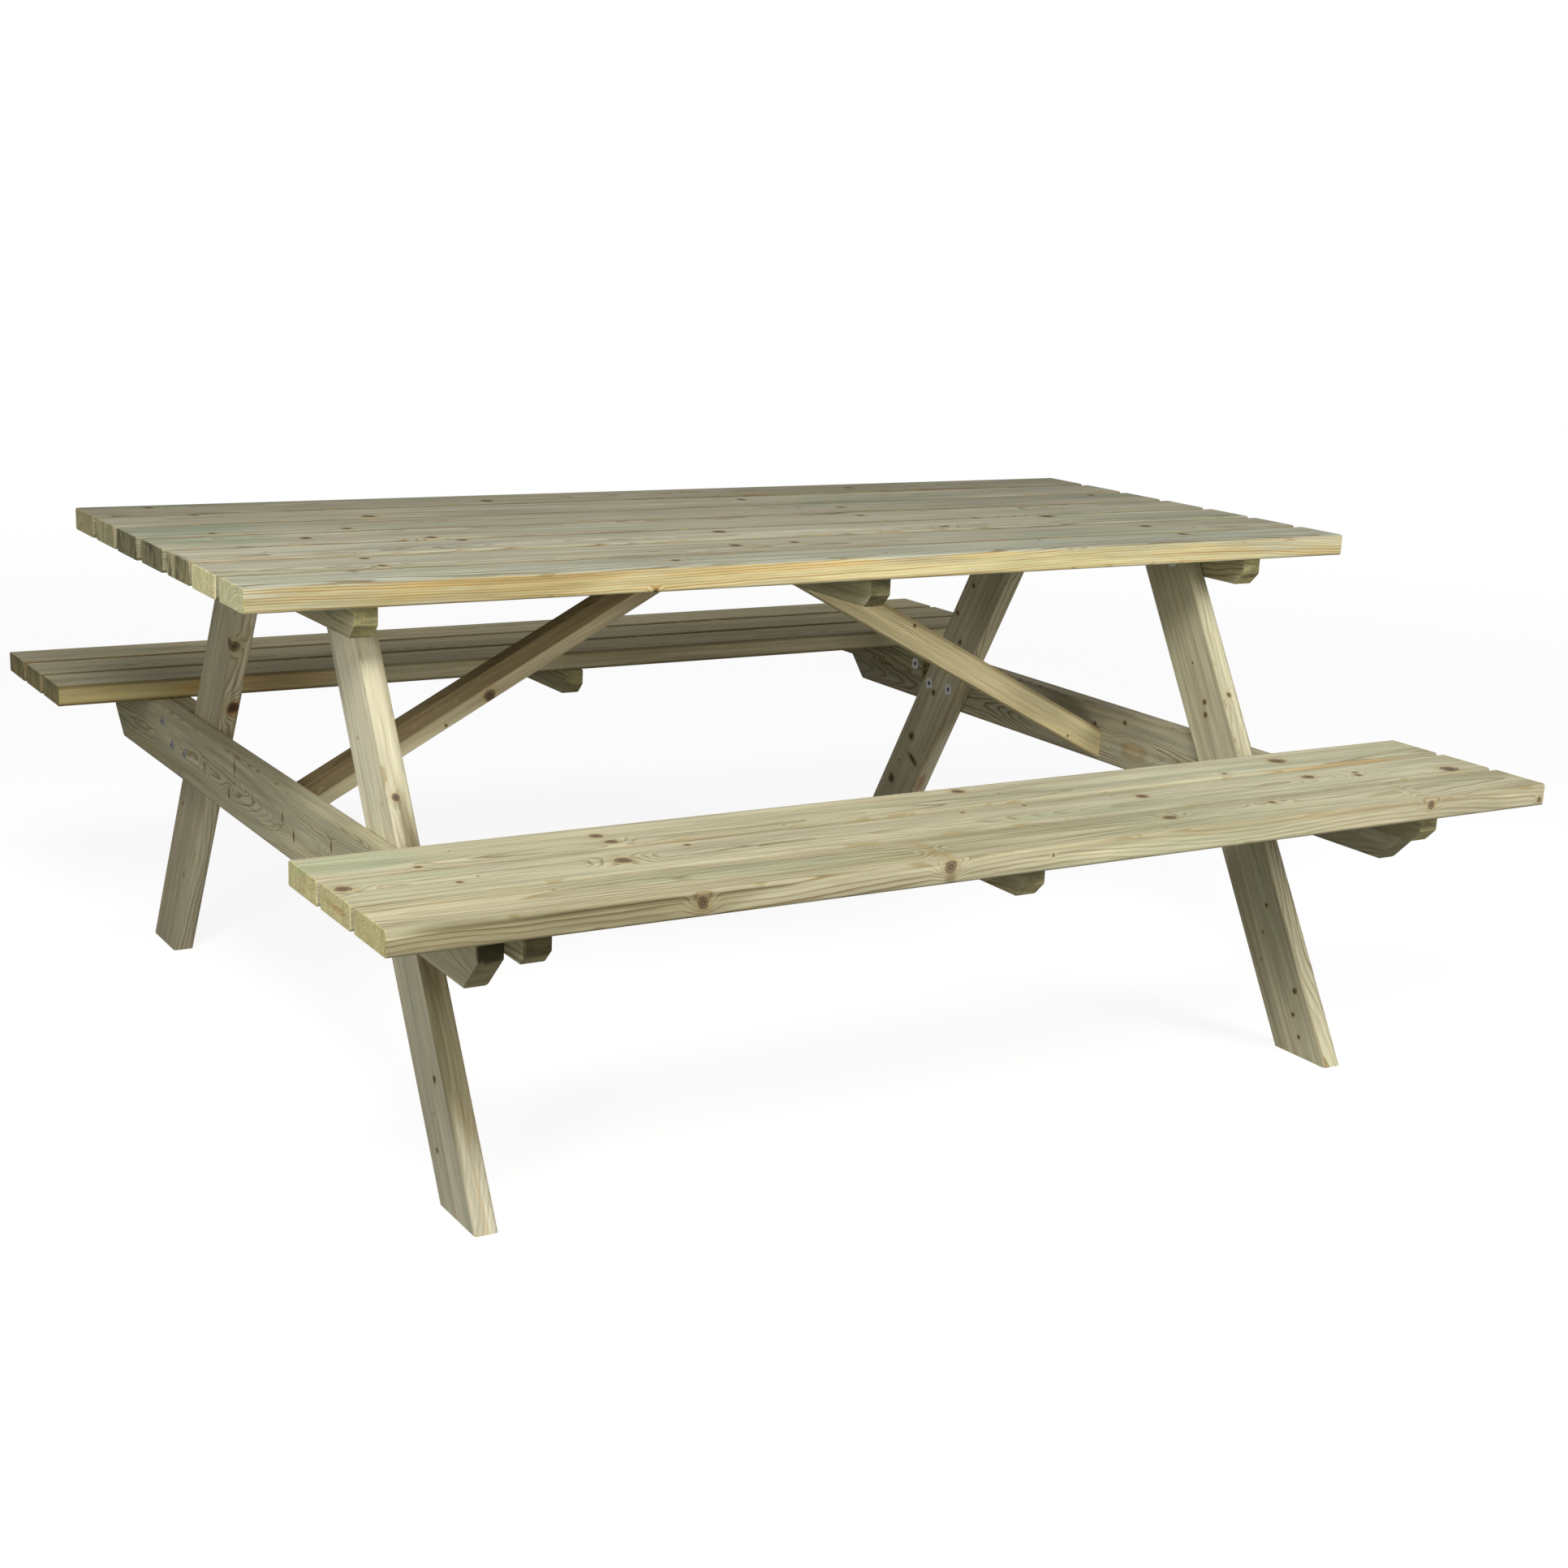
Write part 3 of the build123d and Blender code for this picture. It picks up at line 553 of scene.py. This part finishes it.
# How each sort of timber looks: pale wood, knots, ring contrast, how orange its lines are, grey-green
# stain, grime and painted shade along the arrises, shade on the narrow edges, the tone and dark smears of
# its cut ends, and, where they aren't drawn by chance, its rings per metre and the pith's place.
LOOKS = {
    "tabletop": dict(pale=(0.56, 0.53, 0.385), knot=(0.085, 0.06, 0.038), contrast=1.1, warm=0.15,
                     stain=0.75, grime_and_shade=0.45, edge=0.6, end_tone=0.53, end_smear=0.55),
    "front_seat_board": dict(pale=(0.60, 0.56, 0.375), knot=(0.15, 0.098, 0.06), contrast=1.0, warm=0.1,
                             stain=0.5, grime_and_shade=0.3, edge=0.3, end_tone=1.0, end_smear=0.15),
    "back_seat_board": dict(pale=(0.60, 0.53, 0.33), knot=(0.12, 0.08, 0.05), contrast=0.9, warm=0.3,
                            stain=0.4, grime_and_shade=0.9, edge=0.8, end_tone=0.6, end_smear=0.4),
    "leg": dict(pale=(0.68, 0.62, 0.42), knot=(0.10, 0.065, 0.038), contrast=1.5, warm=0.2,
                stain=0.4, grime_and_shade=0.2, end_tone=0.7, end_smear=0.3, rings=520, pith=(0, 0.09, 0.035)),
    "crossbeam": dict(pale=(0.62, 0.57, 0.39), knot=(0.09, 0.065, 0.04), contrast=1.5, warm=0.1,
                      stain=0.15, grime_and_shade=0.3, end_tone=0.5, end_smear=0.3, rings=520),
    "brace": dict(pale=(0.78, 0.67, 0.42), knot=(0.10, 0.06, 0.035), contrast=1.6, warm=0.35,
                  stain=0.3, grime_and_shade=0.2, end_tone=0.7, end_smear=0.3),
    "batten": dict(pale=(0.50, 0.46, 0.28), knot=(0.10, 0.07, 0.04), contrast=1.5, warm=0.2,
                   stain=0.4, grime_and_shade=0.2, end_tone=0.75, end_smear=0.5),
}

# Pieces that differ from their sort.
OWN_LOOKS = {
    "tabletop_board_1": dict(pale=(0.61, 0.62, 0.48), contrast=1.9, warm=0.8, stain=0.2, grime_and_shade=0.1, edge=0.0,
                             end_tone=1.2, end_smear=0.1, rings=270, pith=(0, -0.045, -0.07)),
    "tabletop_board_2": dict(pale=(0.63, 0.60, 0.44), end_tone=1.4, end_smear=0.15),
    "tabletop_board_3": dict(pale=(0.69, 0.655, 0.48), end_tone=0.85, end_smear=0.75),
    "tabletop_board_4": dict(pale=(0.65, 0.61, 0.445), end_tone=0.46),
    "tabletop_board_6": dict(end_tone=0.95, end_smear=0.35),
    "tabletop_board_7": dict(pale=(0.46, 0.43, 0.30), end_tone=1.1, end_smear=0.15),
    "front_seat_board_1": dict(pale=(0.57, 0.52, 0.335), contrast=1.3, edge=0.0, rings=240,
                               pith=(0, 0.005, -0.035)),
    "back_seat_board_1": dict(edge=0.0),
    "right_brace": dict(pale=(0.89, 0.77, 0.44), pith=(0, 0.10, 0.03), edge=0.5),
    "left_brace": dict(pith=(0, -0.11, 0.02), edge=0.9),
    "front_left_leg": dict(pale=(0.65, 0.605, 0.43), contrast=0.5),
    "front_right_leg": dict(pale=(0.665, 0.62, 0.415)),
    "left_crossbeam": dict(pale=(0.56, 0.52, 0.34), pith=(0, 0.002, 0.035)),
    "right_crossbeam": dict(pale=(0.53, 0.495, 0.345), contrast=1.6, pith=(0, -0.012, 0.045)),
    "middle_top_batten": dict(end_tone=0.38),
    "front_left_seat_block": dict(end_tone=0.55),
}


def look_of(node):
    """The look of a piece of timber, by what it is."""
    look = next((look for word, look in LOOKS.items() if word in node), LOOKS["batten"])
    return {**look, **OWN_LOOKS.get(node, {})}


def pin_knots(draw, length, half):
    """A few tiny knots besides the listed ones."""
    return [knot(draw.uniform(-0.46, 0.46) * length, draw.uniform(-0.8, 0.8) * half, draw.uniform(0.9, 2.0))
            for _ in range(draw.randint(1, 4))]


def metres(values):
    return tuple(value / 1000 for value in values)


def timber_material(node, feature, blot, softwood):
    """The material of one piece of timber."""
    draw = random.Random(node)
    look = look_of(node)
    low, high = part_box(node)
    frame = grain_frame(node)
    full_width = "board" in node or node.endswith(("_leg", "_crossbeam"))
    half = FULL_HALF_WIDTH if full_width else RIPPED_HALF_WIDTH
    material = bpy.data.materials.new(f"timber_{node}")
    material.use_nodes = True
    material.node_tree.nodes.clear()
    g = Graph(material.node_tree)
    mapping = g.node("ShaderNodeMapping", vector_type="TEXTURE")
    mapping.inputs["Location"].default_value = (low + high) / 2
    mapping.inputs["Rotation"].default_value = frame.to_euler("XYZ")
    g.feed(mapping.inputs["Vector"], g.node("ShaderNodeTexCoord").outputs["Object"])
    grain = mapping.outputs[0]
    near = NO_KNOT_NEAR
    lift = 0.0
    for mark in [*FEATURES.get(node, ()), *pin_knots(draw, 1000 * max(high - low), half)]:
        step = g.group(feature, {
            "Grain": grain, "Centre": metres(mark.centre), "Core": metres(mark.core),
            "Reach": metres(mark.reach), "Rings": mark.rings, "Near": near, "Lift": lift})
        near = step["Near"]
        lift = step["Lift"]
    normal = g.node("ShaderNodeNewGeometry").outputs["Normal"]
    facing = g.math("ABSOLUTE", g.vector("DOT_PRODUCT", normal, tuple(frame.col[0])))
    tint = draw.uniform(0.95, 1.05)
    pith = (0, draw.uniform(-0.03, 0.03), draw.choice((-1, 1)) * draw.uniform(0.02, 0.07))
    rings = RINGS_PER_METRE * draw.uniform(0.8, 1.2)
    wood = g.group(softwood, {
        "Grain": grain, "Half": half / 1000, "Near": near, "Lift": lift,
        "End": g.remap(facing, 0.35, 0.6), "Seed": draw.uniform(0, 40), "Pith": look.get("pith", pith),
        "Rings": look.get("rings", rings), "Pale": opaque(tuple(tint * channel for channel in look["pale"])),
        "Knot tone": opaque(look["knot"]), "Contrast": look["contrast"], "Warm": look["warm"],
        "Stain": look["stain"], "Grime and shade": look["grime_and_shade"], "Edge": look.get("edge", 0.0),
        "End tone": look["end_tone"], "End smear": look["end_smear"]})
    colour = wood["Colour"]
    for mark in BLOTS.get(node, ()):
        colour = g.group(blot, {
            "Grain": grain, "Centre": metres(mark.centre), "Size": metres(mark.size),
            "Tint": opaque(mark.tint), "Amount": mark.amount, "Colour": colour})["Colour"]
    bump = g.node("ShaderNodeBump")
    bump.inputs["Strength"].default_value = GRAIN_BUMP_STRENGTH
    bump.inputs["Distance"].default_value = GRAIN_BUMP_DISTANCE
    g.feed(bump.inputs["Height"], wood["Relief"])
    shader = g.node("ShaderNodeBsdfPrincipled")
    g.feed(shader.inputs["Base Color"], colour)
    g.feed(shader.inputs["Roughness"], wood["Roughness"])
    g.feed(shader.inputs["Normal"], bump.outputs[0])
    shader.inputs["Specular IOR Level"].default_value = TIMBER_SPECULAR
    g.feed(g.node("ShaderNodeOutputMaterial").inputs["Surface"], shader.outputs[0])
    return material


# ---------------------------------------------------------------- metal
def zinc_material(name, roughness, metallic, colour, shining=(0.0, 1.0)):
    """Zinc plate with a faint mottle, with painted shade down in the holes where |X| lies outside the
    shining range, in metres.
    """
    material = bpy.data.materials.new(name)
    material.use_nodes = True
    g = Graph(material.node_tree)
    shader = material.node_tree.nodes["Principled BSDF"]
    shader.inputs["Metallic"].default_value = metallic
    place = g.node("ShaderNodeTexCoord").outputs["Object"]
    mottle = g.noise(place, 380, 2.0)["Fac"]
    dull = tuple(DULL_ZINC_TONE * channel for channel in colour)
    depth = g.math("ABSOLUTE", g.split(place)[0])
    inner, outer = shining
    # painted shade in the holes, beyond the faces that heads and flanges sit on
    inward = g.remap(depth, inner - 0.001, inner, HOLE_SHADE_TONE, 1.0)
    outward = g.remap(depth, outer, outer + 0.001, 1.0, HOLE_SHADE_TONE)
    plate = g.mix(mottle, dull, colour)
    g.feed(shader.inputs["Base Color"], g.scale(plate, g.math("MINIMUM", inward, outward)))
    g.feed(shader.inputs["Roughness"], g.remap(mottle, 0.3, 0.7, roughness, roughness + 0.12))
    return material


# ---------------------------------------------------------------- studio
def add_area_light(name, place, size, power):
    """A square soft light facing the table."""
    data = bpy.data.lights.new(name, "AREA")
    data.size = size
    data.energy = power
    light = bpy.data.objects.new(name, data)
    light.location = place
    light.rotation_euler = (Vector(LIGHT_AIM) - Vector(place)).to_track_quat("-Z", "Y").to_euler()
    bpy.context.scene.collection.objects.link(light)


def make_floor():
    """A plain floor, near white to the camera, that fades into the backdrop."""
    bpy.ops.mesh.primitive_plane_add(size=FLOOR_SIZE)
    floor = bpy.context.object
    floor.name = "studio_floor"
    material = bpy.data.materials.new("studio_floor")
    material.use_nodes = True
    material.node_tree.nodes.clear()
    g = Graph(material.node_tree)
    backdrop = g.shader("ShaderNodeEmission", (1, 1, 1))
    glow = g.shader("ShaderNodeEmission", (FLOOR_GLOW, FLOOR_GLOW, FLOOR_GLOW))
    lit = g.node("ShaderNodeAddShader")
    g.feed(lit.inputs[0], glow)
    g.feed(lit.inputs[1], g.shader("ShaderNodeBsdfDiffuse", FLOOR_COLOUR))
    place = g.node("ShaderNodeTexCoord").outputs["Object"]
    far = g.remap(g.vector("LENGTH", place), *FLOOR_FADE)
    seen = g.mix_shader(far, lit.outputs[0], backdrop)
    bounced = g.shader("ShaderNodeBsdfDiffuse", FLOOR_BOUNCE_COLOUR)
    to_camera = g.node("ShaderNodeLightPath").outputs["Is Camera Ray"]
    g.feed(g.node("ShaderNodeOutputMaterial").inputs["Surface"], g.mix_shader(to_camera, bounced, seen))
    floor.data.materials.append(material)


def make_backdrop():
    """A white backdrop that lights the table only softly."""
    world = bpy.data.worlds.new("studio")
    world.use_nodes = True
    world.node_tree.nodes.clear()
    g = Graph(world.node_tree)
    fill = (FILL_STRENGTH, FILL_STRENGTH, FILL_STRENGTH)
    to_camera = g.node("ShaderNodeLightPath").outputs["Is Camera Ray"]
    mixed = g.mix_shader(
        to_camera, g.shader("ShaderNodeBackground", fill), g.shader("ShaderNodeBackground", (1, 1, 1)))
    g.feed(g.node("ShaderNodeOutputWorld").inputs["Surface"], mixed)
    bpy.context.scene.world = world


def make_studio():
    """Floor, backdrop and lights."""
    make_floor()
    make_backdrop()
    for light in LIGHTS:
        add_area_light(*light)


def make_camera():
    """The camera at the photograph's viewing angle."""
    data = bpy.data.cameras.new("camera")
    data.lens = CAMERA_LENS
    data.sensor_width = SENSOR_WIDTH
    data.shift_x, data.shift_y = CAMERA_SHIFT
    level = math.cos(CAMERA_PITCH)
    forward = Vector((math.sin(CAMERA_YAW) * level, math.cos(CAMERA_YAW) * level, math.sin(CAMERA_PITCH)))
    right = Vector((math.cos(CAMERA_YAW), -math.sin(CAMERA_YAW), 0))
    up = right.cross(forward)
    turn_cos = math.cos(CAMERA_ROLL)
    turn_sin = math.sin(CAMERA_ROLL)
    rolled_right = turn_cos * right + turn_sin * up
    rolled_up = -turn_sin * right + turn_cos * up
    camera = bpy.data.objects.new("camera", data)
    turn = Matrix((rolled_right, rolled_up, -forward)).transposed()
    camera.matrix_world = Matrix.Translation(CAMERA_PLACE) @ turn.to_4x4()
    bpy.context.scene.collection.objects.link(camera)
    bpy.context.scene.camera = camera


# ---------------------------------------------------------------- scene
def dress(frame):
    """Give every CAD node its material."""
    groups = (feature_group(), blot_group(), softwood_group())
    bolts = zinc_material("zinc_bolts", 0.20, 0.85, (0.60, 0.60, 0.59), (BOLT_HEAD_SEAT, 1.0))
    # matt near-white, not metal: the bright zinc reflection is painted into the colour
    tee_nuts = zinc_material("zinc_tee_nuts", 0.35, 0.0, (0.97, 0.97, 0.96), (0.0, NUT_FLANGE_SEAT))
    screws = zinc_material("zinc_screws", 0.34, 0.6, (0.76, 0.75, 0.68))
    for name, piece in frame["nodes"].items():
        if name.endswith("_screws"):
            material = screws
        elif name.endswith("_tee_nuts"):
            material = tee_nuts
        elif name.endswith("_bolts"):
            material = bolts
        else:
            material = timber_material(name, *groups)
        piece.data.materials.clear()
        piece.data.materials.append(material)


for leftover in list(bpy.data.objects):
    bpy.data.objects.remove(leftover)
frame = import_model()
dress(frame)
make_studio()
make_camera()
bpy.context.scene.view_settings.view_transform = "Standard"
